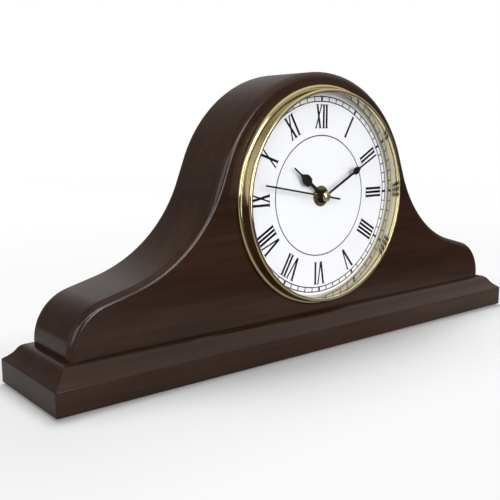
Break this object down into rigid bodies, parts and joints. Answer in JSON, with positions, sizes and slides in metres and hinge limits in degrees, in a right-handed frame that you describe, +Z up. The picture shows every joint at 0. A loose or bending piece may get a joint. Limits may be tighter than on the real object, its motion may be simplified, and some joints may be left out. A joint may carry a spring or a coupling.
{
  "type": "tambour mantel clock",
  "caption": "Humpbacked wooden mantel clock on a moulded base, with a round brass bezel, glass, Roman dial, spade hands and a battery quartz movement reached from behind.",
  "frame": {"origin": "centre of the footprint, on the surface that the clock stands on", "axes": "+X to the right of someone facing the dial, +Y from the dial to the back, +Z up"},
  "size_m": [0.406, 0.075, 0.187],
  "materials": {
    "lacquered_wood": "espresso lacquer, satin",
    "core_wood": "espresso lacquer, satin",
    "dowel_wood": "bare beech",
    "felt": "dense black felt",
    "steel": "zinc plated",
    "bezel_brass": "polished and lacquered",
    "pale_brass": "satin polished",
    "brass": "polished",
    "glass": "clear",
    "dial_white": "matt white print ground",
    "backing_board": "hardboard",
    "hand_black": "satin black",
    "spring_steel": "hard rolled",
    "rubber": "soft",
    "movement_plastic": "moulded black",
    "wheel_plastic": "moulded acetal",
    "knob_plastic": "moulded grey",
    "magnet": "sintered",
    "soft_iron": "annealed",
    "copper": "enamelled wire",
    "bobbin_plastic": "moulded natural",
    "board": "printed circuit laminate",
    "chip_resin": "sealing resin",
    "cell_jacket": "plain sleeve"
  },
  "bodies": {
    "case": {"front_panel": "lacquered_wood", "case_core": "core_wood", "back_panel": "lacquered_wood", "base_plinth": "lacquered_wood", "base_felt": "felt", "base_screws": "steel", "base_dowels": "dowel_wood", "bezel": "bezel_brass", "lens": "glass", "reflector_sleeve": "pale_brass", "dial_plate": "dial_white", "dial_backing": "backing_board", "dial_retaining_ring": "steel", "bezel_springs": "spring_steel", "dial_nut": "brass", "dial_washer": "brass", "rubber_washer": "rubber", "centre_bushing": "brass", "movement_shell": "movement_plastic", "movement_cover": "movement_plastic", "cover_screws": "steel", "stator": "soft_iron", "coil_core": "soft_iron", "coil_bobbin": "bobbin_plastic", "coil_winding": "copper", "stator_screws": "steel", "circuit_board": "board", "timing_chip": "chip_resin", "quartz_crystal": "steel", "battery": "cell_jacket", "positive_contact": "spring_steel", "negative_contact": "spring_steel"},
    "minute_work": {"cannon_pinion": "brass", "friction_spring": "spring_steel", "minute_hand": "hand_black"},
    "hour_work": {"hour_wheel": "wheel_plastic", "hour_hand": "hand_black"},
    "motion_work": {"motion_wheel": "wheel_plastic"},
    "setting_work": {"set_stem": "wheel_plastic", "set_knob": "knob_plastic"},
    "seconds_work": {"second_wheel": "steel", "second_hand": "hand_black", "hand_cap": "brass"},
    "third_work": {"third_wheel": "wheel_plastic"},
    "centre_work": {"centre_wheel": "wheel_plastic"},
    "intermediate_work": {"intermediate_wheel": "wheel_plastic"},
    "rotor_work": {"rotor": "magnet"}
  },
  "joints": [
    {"name": "minute_turn", "type": "hinge", "parent": "case", "child": "minute_work", "pos_m": [0, -0.012, 0.1045], "axis": [0, 1, 0], "continuous": true},
    {"name": "hour_turn", "type": "hinge", "parent": "case", "child": "hour_work", "pos_m": [0, -0.012, 0.1045], "axis": [0, 1, 0], "continuous": true},
    {"name": "motion_turn", "type": "hinge", "parent": "case", "child": "motion_work", "pos_m": [-0.01031, -0.012, 0.1065], "axis": [0, 1, 0], "continuous": true},
    {"name": "setting_turn", "type": "hinge", "parent": "case", "child": "setting_work", "pos_m": [-0.01556, -0.012, 0.1156], "axis": [0, 1, 0], "continuous": true},
    {"name": "seconds_turn", "type": "hinge", "parent": "case", "child": "seconds_work", "pos_m": [0, -0.012, 0.1045], "axis": [0, 1, 0], "continuous": true},
    {"name": "intermediate_turn", "type": "hinge", "parent": "case", "child": "intermediate_work", "pos_m": [0.00444, -0.012, 0.11402], "axis": [0, 1, 0], "continuous": true},
    {"name": "rotor_turn", "type": "hinge", "parent": "case", "child": "rotor_work", "pos_m": [0.00995, -0.012, 0.11953], "axis": [0, 1, 0], "continuous": true},
    {"name": "third_turn", "type": "hinge", "parent": "case", "child": "third_work", "pos_m": [0.01015, -0.012, 0.1035], "axis": [0, 1, 0], "continuous": true},
    {"name": "centre_turn", "type": "hinge", "parent": "case", "child": "centre_work", "pos_m": [0, -0.012, 0.1045], "axis": [0, 1, 0], "continuous": true}
  ],
  "couplings": [
    {"joint": "hour_turn", "follows": "minute_turn", "ratio": 0.083333},
    {"joint": "motion_turn", "follows": "minute_turn", "ratio": -0.33333},
    {"joint": "setting_turn", "follows": "minute_turn", "ratio": 1},
    {"joint": "intermediate_turn", "follows": "seconds_turn", "ratio": -6},
    {"joint": "rotor_turn", "follows": "seconds_turn", "ratio": 30},
    {"joint": "third_turn", "follows": "seconds_turn", "ratio": -0.13333},
    {"joint": "centre_turn", "follows": "seconds_turn", "ratio": 0.016667}
  ]
}
